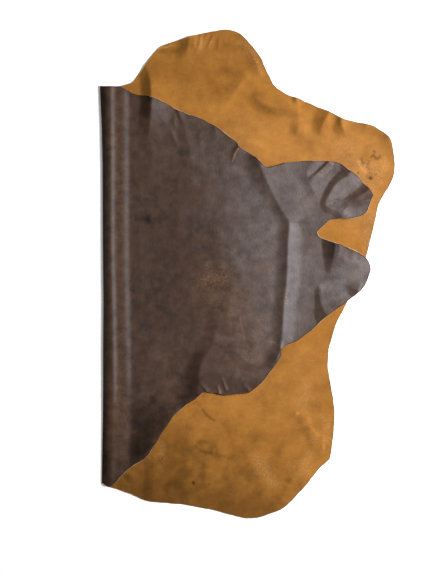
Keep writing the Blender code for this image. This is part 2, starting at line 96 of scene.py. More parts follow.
# Creases stand up as ridges. Each has a name, how hollow its left and right slopes are (1 is
# a straight slope, more is steeper at the crest) and the points of its crest: (x, y, height,
# left slope's width, right slope's width), with left and right as seen walking along it.
creases = {
    "lower": (
        ("neck ridge", 1.25, 1.6, ((158, 430, 0, 50, 60), (162, 475, 3.5, 46, 66),
            (166, 515, 9.5, 42, 74), (170, 556, 17, 39, 84), (172, 590, 22, 38, 90),
            (173, 622, 24, 39, 92), (171, 660, 21, 38, 92), (163, 695, 13, 34, 86), (151, 722, 6, 30, 76),
            (138, 745, 1, 26, 60))),
        ("curled edge", 1.5, 1.5, ((191, 782, 2, 12, 20), (222, 786, 5, 12, 22), (250, 800, 3, 12, 20))),
        ("neck step", 1.3, 1.4, ((293, 748, 0, 26, 44), (297, 773, 7, 30, 46), (302, 800, 9, 32, 48),
            (306, 831, 9, 34, 48))),
        ("neck ripple", 1.5, 1.5, ((310, 758, 0, 9, 13), (324, 817, 3, 9, 13))),
        ("neck ripple", 1.5, 1.5, ((320, 754, 0, 10, 16), (338, 796, 4.4, 11, 17),
            (345, 831, 4.4, 11, 17))),
        ("neck ripple", 1.5, 1.5, ((352, 800, 1.6, 9, 13), (366, 836, 3.6, 9, 13))),
        ("neck ripple", 1.5, 1.5, ((369, 775, 0, 9, 13), (376, 803, 3.6, 9, 13), (387, 828, 2.2, 9, 13))),
        ("neck ripple", 1.5, 1.5, ((404, 765, 0, 9, 12), (408, 817, 3, 9, 12))),
        ("neck side", 1.5, 1.5, ((565, 670, 0, 26, 18), (544, 716, 6, 30, 20), (530, 751, 6, 30, 20),
            (509, 782, 5, 26, 20), (474, 796, 0, 22, 18))),
        ("neck slant", 1.4, 1.4, ((432, 586, 1, 40, 40), (460, 628, 5, 40, 44), (488, 667, 5.5, 40, 44),
            (520, 702, 0, 36, 36))),
        ("shoulder crease", 1.5, 1.5, ((681, 572, 6, 30, 60), (635, 576, 13, 34, 70),
            (592, 580, 15, 38, 70), (562, 590, 14, 38, 70), (542, 608, 9, 36, 60),
            (529, 630, 0, 30, 44))),
        ("edge wave", 1.3, 1.4, ((680, 474, 0, 26, 50), (684, 500, 10, 28, 52), (686, 536, 2, 26, 52),
            (684, 588, 2, 18, 54), (680, 602, 9, 18, 54), (679, 622, 15, 20, 54))),
        ("edge wave", 1.3, 1.3, ((761, 478, 0, 36, 32), (768, 509, 14, 38, 32), (782, 537, 21, 42, 32),
            (800, 567, 22, 44, 32))),
        ("edge wave", 1.3, 1.2, ((852, 471, 0, 26, 50), (847, 495, 12, 30, 66), (836, 520, 19, 34, 76),
            (835, 551, 21, 34, 80))),
        ("edge wave", 1.5, 1.5, ((915, 481, 0, 44, 36), (922, 523, 7, 46, 36))),
        ("edge wave", 1.5, 1.5, ((1011, 432, 3, 40, 14), (1000, 480, 6, 42, 14))),
        ("butt wave", 1.4, 1.6, ((177, -793, 3, 40, 46), (177, -695, 5, 40, 46), (180, -635, 5, 40, 46),
            (187, -583, 0, 38, 40))),
        ("butt wave", 1.4, 1.5, ((93, -744, 3, 40, 36), (94, -704, 3.4, 40, 36), (96, -668, 1, 40, 36))),
    ),
    "flap": (
        ("long crease", 1.7, 1.35, ((623, -264, 5.2, 28, 40), (629, -198, 8, 36, 44),
            (635, -103, 8.6, 38, 47), (644, -23, 8.6, 38, 48), (648, 100, 8.8, 38, 50),
            (651, 140, 8.6, 37, 46), (653, 163, 7.8, 36, 38), (652, 176, 6.6, 34, 38),
            (649, 187, 6, 34, 110), (637, 204, 5.5, 34, 170), (614, 243, 6, 38, 210),
            (583, 303, 8, 46, 230), (558, 359, 12, 54, 230), (550, 401, 16, 56, 230))),
        ("pouch foot", 1.4, 1.4, ((655, 178, 0, 9, 14), (673, 181, 1.6, 9, 15), (695, 184, 2, 10, 16),
            (722, 184, 1, 9, 16), (742, 192, 0, 9, 14))),
        ("corner", 1.7, 1.5, ((594, -330, 3, 44, 12), (611, -302, 10, 54, 12), (622, -278, 9, 54, 12),
            (624, -256, 4, 48, 12), (620, -236, 0, 36, 12))),
        ("hollow", 1.5, 1.5, ((611, -138, 0, 26, 30), (590, -93, 1, 28, 32), (569, -44, 0, 26, 28))),
        ("shank pinch", 1.1, 1.3, ((722, 322, 0, 8, 14), (730, 329, 2, 8, 15), (752, 347, 4.5, 9, 16),
            (773, 366, 6, 9, 17), (794, 388, 6.5, 9, 17))),
        ("shank blotch", 1.5, 1.5, ((760, 250, 0, 30, 50), (747, 271, 1.5, 26, 50), (726, 313, 2, 26, 50),
            (716, 352, 2, 28, 50), (737, 392, 3, 40, 50))),
        ("shank pouch", 1.1, 1.0, ((840, 217, 1, 18, 24), (819, 221, 4, 19, 26), (800, 225, 5, 19, 27),
            (785, 231, 5, 19, 29), (780, 243, 5.2, 18, 34), (787, 261, 6.5, 18, 42),
            (798, 281, 7.5, 19, 50), (810, 301, 8.5, 20, 58), (830, 321, 9.5, 23, 64),
            (858, 339, 10, 31, 68), (872, 364, 10.5, 42, 70))),
        ("shank streak", 1.1, 1.2, ((840, 238, 0.5, 14, 28), (867, 250, 5, 19, 32),
            (897, 265, 10, 24, 34), (922, 281, 11.5, 27, 36), (942, 297, 8, 28, 36))),
        ("shank tip", 1.2, 1.1, ((838, 190, 4.5, 34, 66), (841, 206, 4, 30, 70), (850, 222, 3, 20, 70),
            (874, 236, 4, 17, 64), (908, 246, 8, 20, 54), (945, 257, 9.5, 22, 44))),
        ("flank wedge", 1.15, 1.0, ((796, -20, 0, 14, 95), (800, 5, 3, 18, 114), (804, 34, 9, 28, 128),
            (810, 65, 17, 38, 138), (815, 100, 23, 45, 143), (818, 125, 24, 46, 144))),
        ("flank line", 1.2, 1.2, ((819, 40, 0.5, 6, 9), (828, 96, 1.6, 6, 9))),
        ("flank pinch", 1.3, 1.4, ((863, 48, 0, 24, 18), (872, 66, 3, 28, 18), (880, 84, 6, 32, 18))),
        ("flank hem", 1.2, 1.15, ((790, -152, 15, 50, 100), (774, -131, 11, 36, 100),
            (764, -103, 6, 20, 100), (760, -68, 3.5, 16, 96), (762, -33, 0, 14, 90))),
        ("flank tip", 1.2, 1.3, ((894, -62, 7, 24, 50), (873, -52, 4, 24, 50), (849, -40, 0, 20, 40))),
        ("butt step", 1.5, 1.4, ((331, -422, 9, 60, 330), (338, -373, 12, 54, 330),
            (341, -331, 12, 46, 330), (359, -292, 8, 42, 320), (383, -254, 5, 42, 300),
            (400, -200, 2.5, 42, 280), (420, -130, 1, 42, 260), (435, -60, 0, 40, 240))),
        ("hem curl", 1.2, 1.2, ((100, -675, 2, 40, 20), (150, -632, 8, 56, 20), (190, -580, 12, 66, 20),
            (220, -535, 11, 66, 20), (262, -480, 3, 50, 20))),
        ("hem wrinkle", 1.2, 1.2, ((411, -422, 4, 6, 8), (404, -390, 0.5, 5, 6))),
        ("hem wrinkle", 1.2, 1.2, ((434, -411, 3, 7, 8), (418, -362, 0.5, 6, 6))),
        ("hem wrinkle", 1.3, 1.3, ((366, -412, 3.5, 9, 11), (341, -383, 0.5, 8, 10))),
        ("hem wrinkle", 1.3, 1.3, ((516, -416, 3.5, 10, 12), (495, -390, 0.5, 8, 10))),
        ("neck ridge foot", 1.4, 1.5, ((171, 480, 0, 50, 40), (174, 436, 3, 66, 46),
            (176, 380, 3, 66, 48), (178, 320, 0, 50, 44))),
        ("left sag", 1.5, 1.5, ((145, -331, 0, 36, 44), (166, -268, 3, 38, 48), (191, -208, 0, 36, 44))),
        ("neck pucker", 1.2, 1.4, ((283, 524, 0.5, 8, 18), (272, 548, 3.5, 10, 20),
            (262, 580, 5.5, 11, 22))),
        ("neck pucker", 1.5, 1.5, ((262, 492, 0, 12, 14), (252, 520, 2, 14, 16),
            (253, 556, 1.5, 13, 16))),
        ("neck fan", 1.5, 1.5, ((247, 452, 0, 20, 20), (229, 500, 1.8, 22, 24), (208, 544, 1.5, 20, 24))),
        ("neck fan", 1.5, 1.5, ((266, 430, 0, 12, 14), (252, 468, 2, 13, 15), (236, 512, 1.2, 12, 14))),
        ("neck fan", 1.5, 1.5, ((316, 330, 0, 46, 34), (311, 397, 2, 46, 34), (296, 467, 2, 34, 30),
            (284, 527, 1.5, 24, 28))),
        ("neck fan", 1.5, 1.5, ((349, 425, 0, 20, 16), (338, 481, 1.8, 22, 16))),
        ("neck fan", 1.5, 1.5, ((401, 457, 0, 28, 20), (394, 506, 2.4, 28, 22))),
        ("neck fan", 1.5, 1.5, ((457, 432, 0, 24, 20), (453, 474, 2, 24, 20))),
        ("nick", 1.3, 1.4, ((455, 385, 0, 12, 30), (464, 415, 3.5, 14, 34), (484, 444, 6, 16, 36))),
    ),
}

# Worn, waxed and soiled places of each kind, and places of painted shade and painted light: how much it
# lightens the colour (or darkens it, below 0), how much waxy gloss it adds, and the stroke it covers: (x,
# y, reach).
marks = {
    "lower": {
        # Some of these are real soil and stains; others are painted shade on slopes turned from the light
        # and where the light falls off towards the bottom and the top left.
        "soil and painted shade": (
            # painted shade where the light falls off towards the bottom, in this line and the next two
            (-0.45, 0, ((96, -863, 262), (306, -863, 262), (516, -880, 210))),
            (-0.3, 0, ((131, -758, 210), (236, -635, 158))),
            (-0.1, 0, ((341, -688, 280), (551, -723, 245))),
            # painted shade where the light falls off towards the top left
            (-0.14, 0, ((201, 747, 210), (446, 817, 210))),
            # painted shade on the neck step's shaded slope
            (-0.26, 0, ((281, 800, 31), (270, 762, 25))),
            # painted shade under the curled edge
            (-0.18, 0, ((206, 774, 10), (230, 778, 13), (258, 778, 17))),
            # painted shade on the neck ridge's shaded slope
            (-0.12, 0, ((152, 677, 49),)),
            (-0.04, 0, ((400, 620, 40), (450, 690, 40))),
            # painted shade on the shoulder crease's shaded slope, in this line and the next
            (-0.08, 0, ((530, 616, 24), (552, 584, 28), (592, 566, 30), (665, 562, 30))),
            (-0.16, 0, ((556, 580, 20), (590, 564, 24), (665, 558, 22))),
            # painted shade on the first edge wave's shaded slope, in this line and the next
            (-0.15, 0, ((670, 603, 14),)),
            (-0.12, 0, ((663, 495, 24),)),
            (-0.46, 0, ((951, 424, 8),)),
            (-0.46, 0, ((940, 405, 6), (949, 411, 7), (957, 400, 8), (964, 398, 6), (971, 406, 7))),
            (-0.4, 0, ((905, 399, 6), (912, 386, 7), (909, 377, 6))),
            (-0.3, 0, ((931, 388, 6), (928, 371, 7), (936, 359, 7), (937, 346, 6))),
            (-0.44, 0, ((895, 350, 8),)),
            (-0.9, 0, ((939, 331, 8),)),
            (-0.22, 0, ((926, 338, 9), (939, 330, 13))),
            (-0.26, 0, ((957, 344, 7),)),
            (-0.2, 0, ((970, 356, 7),)),
            (-0.12, 0, ((985, 474, 38), (1015, 400, 36))),
            (-0.2, 0, ((880, 510, 26), (915, 506, 28), (950, 494, 30), (985, 480, 24))),
            # painted shade on the third edge wave's shaded slope
            (-0.2, 0, ((824, 542, 15), (829, 522, 15))),
            (-0.16, 0, ((868, 526, 26),)),
            (-0.14, 0, ((308, -446, 12), (326, -455, 13), (343, -464, 10))),
            (-0.34, 0, ((350, -478, 6), (362, -495, 8), (378, -509, 8), (391, -517, 5))),
            (-0.15, 0, ((432, -530, 20), (440, -552, 16))),
            (-0.14, 0, ((330, -594, 6), (346, -589, 7), (362, -597, 6))),
            (-0.24, 0, ((326, -606, 6), (337, -618, 8), (354, -627, 9), (380, -633, 10))),
            (-0.2, 0, ((380, -633, 10), (404, -638, 11), (428, -642, 8))),
            (-0.14, 0, ((455, -650, 26), (500, -690, 30), (540, -740, 30))),
            (-0.1, 0, ((240, -640, 40), (330, -650, 40))),
            (-0.14, 0, ((490, -578, 24), (544, -572, 30), (594, -585, 26))),
            (-0.16, 0, ((600, -652, 22), (632, -600, 16))),
            (-0.2, 0, ((672, -498, 22), (688, -514, 22))),
            (-0.08, 0, ((690, -530, 18), (706, -548, 16))),
            (-0.2, 0, ((716, -552, 18), (726, -596, 17))),
            (-0.2, 0, ((656, -730, 12), (640, -725, 9))),
            (-0.12, 0, ((668, -700, 10), (690, -680, 10))),
            (-0.3, 0, ((74, -702, 14), (88, -714, 16), (100, -730, 14))),
            (-0.75, 0, ((318, -735, 9),)),
            (-0.4, 0, ((373, -740, 7),)),
            (-0.2, 0, ((152, -640, 12), (155, -705, 14), (150, -790, 14))),
        ),
        "worn nap and painted light": (
            # paler over the neck ripples: partly worn nap, partly painted highlight on their lit slopes
            (0.14, 0, ((332, 812, 26), (352, 788, 26), (372, 806, 22))),
            # painted light where the light is strongest towards the top right, in this line and the next
            (0.08, 0, ((464, 555, 140), (551, 467, 140))),
            (0.06, 0, ((691, 467, 175), (936, 397, 175))),
            (0.05, 0, ((432, 600, 30), (475, 652, 30), (510, 690, 24))),
            (0.08, 0, ((610, 640, 30), (560, 680, 30))),
            (0.1, 0, ((706, 560, 26), (712, 500, 26))),
            (0.1, 0, ((560, 470, 40), (640, 440, 40))),
            (0.1, 0, ((908, 373, 46),)),
            (0.24, 0, ((897, 386, 11), (907, 371, 12), (916, 358, 11))),
            (0.24, 0, ((975, 316, 12),)),
            (0.08, 0, ((360, -440, 40), (500, -470, 60), (560, -520, 50))),
            (0.1, 0, ((478, -590, 20),)),
            (0.08, 0, ((340, -560, 50), (420, -580, 40))),
            (0.1, 0, ((250, -575, 50), (330, -575, 30))),
            (0.5, 0, ((682, -492, 8),)),
            (0.14, 0, ((716, -488, 9), (724, -520, 10))),
            (0.14, 0, ((731, -540, 9), (756, -568, 9))),
            (0.14, 0, ((733, -555, 12), (762, -568, 10), (789, -540, 12))),
            (0.18, 0, ((776, -570, 8), (778, -600, 9), (770, -630, 10))),
            (0.12, 0, ((720, -640, 20), (700, -690, 20), (728, -710, 16))),
            (0.1, 0, ((700, -420, 30), (716, -380, 26))),
            (0.08, 0, ((525, -645, 24), (555, -680, 34), (590, -735, 26))),
            (0.25, 0, ((156, -768, 6),)),
            (0.14, 0, ((205, -590, 22), (203, -688, 20), (215, -740, 14), (196, -793, 14))),
            (0.12, 0, ((300, -655, 40), (260, -700, 26))),
        ),
        "curl": (
            # painted highlight along the crest of the curled edge
            (0.5, 0, ((194, 786, 5), (210, 788, 5), (228, 791, 5), (244, 798, 4))),
        ),
        "dry nap gloss": (
            (0, 0.12, ((480, 480, 120), (700, 440, 150), (930, 400, 180), (930, 200, 120))),
            (0, 0.06, ((500, -350, 150), (720, -350, 150), (700, -480, 120))),
        ),
    },
    "flap": {
        "rubbed fold top and painted light": (
            # paler along the fold's top: partly pull-up paling where the leather bends, partly painted
            # light on the slopes that face the light
            (0.22, 0, ((30, 663, 32), (37, 432, 35), (37, 82, 35), (44, -268, 35), (47, -513, 35),
                (47, -688, 38))),
            (0.16, 0, ((40, -380, 26), (48, -500, 40), (58, -620, 46), (56, -720, 40))),
            (0.18, 0, ((65, 663, 35), (65, 432, 35), (65, 82, 35), (68, -268, 35), (68, -513, 38),
                (61, -688, 38))),
        ),
        # Darker places on the grain: some are real grime, others are painted shade on slopes turned from
        # the light and where the light falls off towards the left and bottom.
        "grime and painted shade": (
            # painted shade on the fold's outer side near the butt
            (-0.3, 0, ((6, -440, 16), (4, -560, 18), (2, -680, 18))),
            # painted shade on the butt step's shaded slope
            (-0.22, 0, ((310, -420, 40), (320, -380, 30))),
            # painted shade on the long crease's shaded slope
            (-0.35, -0.05, ((524, 400, 17), (540, 372, 10))),
            # painted shade on the flank wedge's shaded slope
            (-0.45, -0.05, ((813, 108, 24), (806, 60, 16))),
            (-0.14, -0.02, ((390, -380, 40), (480, -390, 40))),
            # painted shade on the neck ridge's shaded slope
            (-0.3, -0.02, ((145, 600, 26), (147, 560, 24))),
            (-0.2, 0, ((212, 58, 28), (250, 54, 24))),
            (-0.12, 0, ((121, 103, 21),)),
            (-0.2, 0, ((243, -149, 24),)),
            (-0.15, 0, ((285, -177, 21),)),
            (-0.2, 0, ((177, -226, 35),)),
            (-0.12, 0, ((359, -275, 42),)),
            # painted shade along the butt step's shaded slope
            (-0.25, -0.03, ((289, -425, 49), (313, -355, 42), (331, -296, 32))),
            (-0.12, 0, ((282, -40, 21),)),
            (-0.12, 0, ((513, 128, 24), (495, 82, 21))),
            # painted shade in the hollow beside the fold near the butt, in this line and the next
            (-0.38, -0.1, ((135, -495, 60), (142, -565, 63), (117, -625, 42))),
            (-0.2, -0.1, ((184, -530, 77),)),
            # painted shade where the light falls off towards the bottom left
            (-0.38, -0.1, ((26, -793, 245), (306, -688, 210))),
            # painted shade where the light falls off towards the left
            (-0.12, 0, ((201, -93, 192), (219, 152, 158))),
        ),
        "shaded fold side": (
            # painted shade on the fold's outer side, away from the light, with less gloss
            (-0.45, -0.16, ((-1, 663, 19), (-1, -700, 19))),
        ),
        "polished ridge": (
            (-0.1, 0.26, ((37, 663, 16), (36, 432, 15), (36, 82, 14), (40, -93, 14), (43, -303, 14),
                (44, -400, 12), (45, -450, 7))),
            (-0.05, 0.15, ((84, 635, 13), (83, 432, 12), (83, 82, 12), (87, -93, 12), (90, -303, 12),
                (92, -400, 10))),
        ),
        "matt ridge": (
            (-0.15, -0.08, ((44, -452, 11), (44, -498, 14), (42, -548, 14), (36, -602, 14),
                (31, -652, 14))),
        ),
        "wax bloom and painted highlights": (
            (0, 0.5, ((691, 467, 262), (709, 152, 280), (691, -198, 245))),
            (0, 0.2, ((842, 320, 70), (900, 230, 60))),
            (-0.06, 0.16, ((872, 322, 30),)),
            (0, 0.55, ((850, -20, 84), (905, 12, 90))),
            # painted highlight on the flank tip, with more gloss
            (0.22, 0.45, ((905, 22, 66),)),
            (0, 0.12, ((722, 40, 40), (718, -60, 40))),
            # painted highlight on the shank tip, with more gloss
            (0.12, 0.4, ((898, 218, 46),)),
            (0, 0.14, ((812, 300, 60), (850, 350, 50))),
            (0, 0.26, ((516, 292, 192), (558, 82, 175), (558, -163, 175))),
            (0, 0.16, ((429, 397, 175), (464, 187, 158))),
            (0, 0.12, ((341, 467, 140), (219, 555, 88))),
        ),
        "matt patch": (
            (-0.12, -0.1, ((834, 255, 20), (828, 232, 16))),
        ),
        "rubbed spot": (
            (1.6, 0, ((818, 269, 3),)),
        ),
        "rubbed patch and painted light": (
            (0.16, -0.04, ((355, -26, 60), (418, -16, 56))),
            (0.17, -0.05, ((341, -60, 119), (464, -50, 105))),
            (0.25, -0.05, ((565, -191, 32),)),
            (0.18, -0.1, ((481, -128, 105), (544, -233, 91))),
            (0.2, 0, ((439, -200, 147),)),
            # painted light on the butt step's long slope
            (0.2, -0.05, ((500, -300, 90),)),
            (0.12, 0, ((688, 268, 35), (712, 236, 32), (660, 208, 28))),
            (0.15, 0, ((747, 313, 22), (768, 334, 28), (789, 355, 22))),
            (0.25, 0, ((569, 26, 24),)),
            (0.2, 0, ((586, 19, 35),)),
            (0.22, 0, ((219, -275, 77), (229, -345, 63))),
            (0.2, 0, ((257, -401, 42), (222, -429, 35))),
        ),
        "rubbed streak": (
            (0.1, 0.03, ((506, -268, 21), (537, -303, 28), (579, -345, 21))),
        ),
        "worn facet": (
            (-0.14, -0.03, ((668, 120, 30), (662, -23, 30), (652, -240, 30))),
        ),
        "matt shelf": (
            (0.06, -0.11, ((60, 640, 12), (60, 100, 12), (64, -380, 12))),
        ),
        "tear": (
            (3.2, 0, ((482, 444, 4), (464, 416, 3.5), (455, 387, 2.5))),
        ),
        "scratch": (
            (0.5, 0, ((481, -155, 3), (492, -208, 3), (499, -250, 2))),
        ),
        "pale corner line": (
            # a pale line on the flap's corner, drawn in colour instead of as a ridge: partly tan, partly
            # painted highlight
            (0.6, 0, ((572, -236, 3), (600, -245, 4), (624, -256, 5))),
        ),
        "rubbed wrinkle": (
            (2.2, 0, ((405, -394, 3), (412, -424, 4))),
            (0.9, 0, ((420, -368, 3), (435, -410, 3))),
            (0.5, 0, ((343, -384, 3), (368, -412, 4))),
            (0.4, 0, ((497, -391, 3), (517, -415, 4))),
        ),
        "dark stain spot": (
            (-0.64, -0.1, ((159, 187, 20),)),
            (-0.15, -0.02, ((166, 180, 30),)),
        ),
    },
}

# Scuffs: amount, stroke.
scuffs = {
    "lower": (      # nap bleached pale
        (0.45, ((896, 388, 12), (910, 366, 14), (920, 345, 8))),
        (0.4, ((888, 338, 6), (900, 322, 7), (916, 306, 5))),
        (0.25, ((500, 780, 14), (532, 745, 20), (556, 700, 14))),
        (0.24, ((476, 808, 13), (502, 792, 14))),
        (0.3, ((905, 384, 22), (926, 360, 26), (950, 372, 22), (975, 344, 18))),
        (0.2, ((985, 395, 22), (990, 360, 20), (958, 330, 18))),
        (0.28, ((540, -655, 24), (560, -690, 36), (600, -735, 24))),
        (0.2, ((786, -510, 22), (792, -585, 18))),
        (0.2, ((742, -590, 22), (756, -560, 14))),
        (0.22, ((724, -640, 20), (700, -690, 34))),
        (0.16, ((716, -396, 36), (704, -452, 30))),
        (0.14, ((719, -506, 10), (728, -528, 9))),
        (0.16, ((850, 420, 60), (930, 300, 60), (930, 130, 40))),
        # painted highlight along the crest of the curled edge
        (0.4, ((190, 780, 3), (204, 785, 5), (222, 789, 5), (242, 801, 3))),
        # paler on the neck ripples' lit slopes: partly bleached nap, partly painted highlight, in this
        # line and the next two
        (0.3, ((322, 802, 6), (332, 785, 5))),
        (0.34, ((349, 818, 8), (343, 785, 6))),
        (0.3, ((378, 812, 7), (370, 785, 5))),
        (0.18, ((205, -600, 20), (212, -645, 18))),
        (0.3, ((772, -590, 6), (777, -622, 7))),
        (0.3, ((930, 120, 18), (915, 60, 10))),
    ),
    "flap": (      # grain scraped through to paler fibre
        (0.55, ((362, -28, 46), (418, -18, 40))),
        (0.2, ((330, -60, 60), (450, -90, 70))),
        (0.6, ((641, -75, 10), (644, -112, 10))),
        (0.35, ((745, 338, 28), (795, 350, 24))),
        (0.22, ((700, 262, 34), (725, 222, 28))),
        (0.25, ((512, -280, 30), (548, -310, 30))),
        (0.25, ((556, -160, 30), (568, -230, 26))),
        (0.6, ((655, -236, 14),)),
        (0.14, ((62, 610, 15), (66, 300, 16), (68, -200, 16), (68, -640, 20))),
        (0.12, ((560, 60, 60), (540, -60, 60))),
    ),
}

# Where the knife leaned over and the pale cut shows wider: name, extra lean in mm above 1,
# stroke.
leanCuts = {
    "lower": (
        ("neck", 1.2, ((560, 762, 20), (600, 680, 20))),
    ),
    "flap": (
        ("shank", 2.4, ((640, 392, 10), (690, 394, 10))),
        ("shank", 1.6, ((858, 360, 14), (900, 330, 14), (920, 308, 10))),
        ("flank", 1.4, ((760, 128, 14), (815, 104, 14))),
        ("flank", 1.5, ((800, -141, 14), (715, -222, 14))),
        ("butt", 1.5, ((80, -700, 16), (160, -640, 16), (205, -560, 16), (240, -500, 16))),
        ("butt", 1.2, ((520, -412, 14), (590, -345, 14))),
        ("shoulder", 1.2, ((190, 604, 14), (440, 476, 14))),
    ),
}

hideSettings = {
    "thickness": 2.2,
    "netStep": 3.8,           # finest spacing of the mesh, doubled once or twice away from creases
    "rimStep": 5.0,           # spacing along the cut edge
    "rollStep": (3.6, 9.0),   # across and along the tight part of the fold
    "rollZone": (-130, 36),   # where that part ends on the flap and on the lower layer
    "innerRow": 3.5,          # a row of points this far inside the cut edge
    "innerGap": 3.0,          # no point of that row lies nearer the cut edge than this
    "netGap": 2.6,            # nor a point of the net nearer the row or the edge than this
    "hidden": (60, 20),       # the flap hides what lies beyond this x, this far in from its edge
    "crestBand": 12.0,        # this near a crest the mesh is finest
    "toeBand": 7.0,           # and this near the foot of a straight slope
    "straight": 1.3,          # slopes less hollow than this count as straight
    "smallMark": 14,          # marks of less reach than this get the finest mesh too
    "markMargin": (1.2, 3),   # as far out as this many times their reach, and this much more
    "markFull": 0.15,         # share of a mark's reach that is at full strength
    "markRagged": 30,         # marks of less reach than this keep smoother edges
    "crestStep": 8.0,         # spacing along a crest
    "crestRadius": (2.5, 0.12),   # at most, and as a share of the slope's width
    "cornerRise": (11, 1),    # how far the fold's outer corner is worn back at the butt and neck
    "cornerReach": 15,        # and how far round the fold
    "cornerStep": 6,
    "bevel": (0.2, 1.3),      # how far the knife's cut leans in at the top, least and most
    "lowerRises": (50, 20),   # creases grow from this x on, over this far
    "flapRises": (96, 36),
    "curlHeight": 4,          # most that the cut edge curls up
    "curlReach": 32,          # and from how far in
}

# Unevenness of each kind: a level, and smooth hills on it as (height, size in mm, seed).
uneven = {
    "cut line": (0, (0.9, 22, 3), (0.5, 9, 4)),
    "cut lean": (0.5, (1, 40, 33)),
    "edge curl": (0.8, (1.8, 60, 31)),
    "mark": (1, (0.30, 26, 51), (0.16, 9, 52)),
    "lower": (0.7, (0.5, 120, 11), (0.25, 45, 12)),
    "flap": (0.9, (1.0, 130, 21), (0.35, 48, 22)),
}


def through(points, step, closed=False):
    # Points about step apart on a smooth curve through the given points.
    points = np.array(points, float)
    if closed:
        before, after = points[-1:], points[:2]
    else:
        before, after = 2 * points[:1] - points[1:2], 2 * points[-1:] - points[-2:-1]
    ring = np.vstack((before, points, after))
    made = []
    for a, b, c, d in zip(ring[:-3], ring[1:-2], ring[2:-1], ring[3:]):
        count = max(1, round(float(np.linalg.norm((c - b)[:2])) / step))
        for t in np.arange(count) / count:
            made.append(0.5 * (2 * b + (c - a) * t + (2 * a - 5 * b + 4 * c - d) * t ** 2
                               + (3 * b - a - 3 * c + d) * t ** 3))
    if not closed:
        made.append(points[-1])
    return np.array(made)


def softNoise(x, y, size, seed):
    # Smooth random hills about size across, from -1 to 1.
    cells = 128
    hills = np.random.default_rng(seed).uniform(-1, 1, (cells, cells))
    total = 0
    for turn in (0.4, 1.7):      # two turned nets hide the grid
        u = (x * math.cos(turn) - y * math.sin(turn)) / size + 500
        v = (x * math.sin(turn) + y * math.cos(turn)) / size + 500
        i, j = np.floor(u).astype(int), np.floor(v).astype(int)
        fu, fv = u - i, v - j
        fu, fv = fu * fu * (3 - 2 * fu), fv * fv * (3 - 2 * fv)
        i, j, nextI, nextJ = i % cells, j % cells, (i + 1) % cells, (j + 1) % cells
        low = hills[i, j] * (1 - fu) + hills[nextI, j] * fu
        high = hills[i, nextJ] * (1 - fu) + hills[nextI, nextJ] * fu
        total = total + low * (1 - fv) + high * fv
    return total / 1.3


def unevenness(kind, x, y):
    level, *hills = uneven[kind]
    for height, size, seed in hills:
        level = level + height * softNoise(x, y, size, seed)
    return level


def foldCurve():
    # s is the length along the leather: 0 at the fold's outer edge, positive on the lower
    # layer and negative on the flap.
    rows = foldSettings["section"]
    curve = through(rows, foldSettings["sectionStep"])
    run = np.r_[0, np.cumsum(np.linalg.norm(np.diff(curve, axis=0), axis=1))]
    outer = np.linalg.norm(curve - rows[foldSettings["outerEdgeRow"]], axis=1).argmin()
    return (run[outer] - run)[::-1], curve[::-1, 0], curve[::-1, 1]


foldS, foldX, foldZ = foldCurve()
runY, runShift, runRidges, runShare = np.array(foldSettings["run"], float).T
moveX, moveShare = np.array(foldSettings["ridgesMove"], float).T


def flatS(x, flap):
    # The length along the leather of what lies x from the fold.
    side = foldS <= 0 if flap else foldS >= 0
    s, near = foldS[side], foldX[side]
    order = np.argsort(near)
    beyond = np.maximum(0, x - near.max())
    return np.interp(x, near[order], s[order]) + (-beyond if flap else beyond)


def foldPlace(s, y):
    # Plan x and height of the smooth sheet, before creases.
    x = np.interp(s, foldS, foldX) + np.maximum(0, s - foldS[-1]) + np.maximum(0, foldS[0] - s)
    z = np.interp(s, foldS, foldZ)
    rise = np.clip((foldS[-1] - s) / (foldS[-1] - foldS[0]), 0, 1)
    rest = foldZ[-1] + (foldZ[0] - foldZ[-1]) * rise ** 2 * (3 - 2 * rise)
    share = np.interp(y, runY, runShare)
    ridges = np.interp(x, moveX, moveShare) * (s < 0) * np.interp(y, runY, runRidges)
    return x + ridges + np.interp(y, runY, runShift), rest + share * (z - rest)


def ridge(x, y, path, leftHollow, rightHollow):
    # How far points are from a crest, how high they stand on its slopes, and how far they
    # are from the foot of a straight slope.
    mostRadius, radiusShare = hideSettings["crestRadius"]
    best, height, toe = np.full(len(x), np.inf), np.zeros(len(x)), np.full(len(x), np.inf)
    for k, (a, b) in enumerate(zip(path[:-1], path[1:])):
        along = b[:2] - a[:2]
        long = math.hypot(*along)
        passed = ((x - a[0]) * along[0] + (y - a[1]) * along[1]) / long ** 2
        t = np.clip(passed, 0, 1)
        dx, dy = x - a[0] - t * along[0], y - a[1] - t * along[1]
        away = np.hypot(dx, dy)
        # 1 on the left and 0 on the right, turning smoothly from one to the other round the ends
        left = 0.5 + 0.5 * np.clip((along[0] * dy - along[1] * dx) / long / np.maximum(away, 0.01), -1, 1)
        leftWidth, rightWidth = a[3] + t * (b[3] - a[3]), a[4] + t * (b[4] - a[4])
        width = left * leftWidth + (1 - left) * rightWidth
        hollow = left * leftHollow + (1 - left) * rightHollow
        radius = np.minimum(mostRadius, radiusShare * width)
        slope = np.clip(1 - (np.hypot(away, radius) - radius) / width, 0, 1)
        if k == 0 or k == len(path) - 2:
            beyond = np.maximum(0, passed - 1 if k else -passed) * long
            slope *= np.clip(1 - beyond / np.minimum(leftWidth, rightWidth), 0, 1)
        nearer = away < best
        best = np.where(nearer, away, best)
        height = np.where(nearer, (a[2] + t * (b[2] - a[2])) * slope ** hollow, height)
        foot = np.where(hollow < hideSettings["straight"], np.abs(away - width), np.inf)
        toe = np.where(nearer, foot, toe)
    return best, height, toe


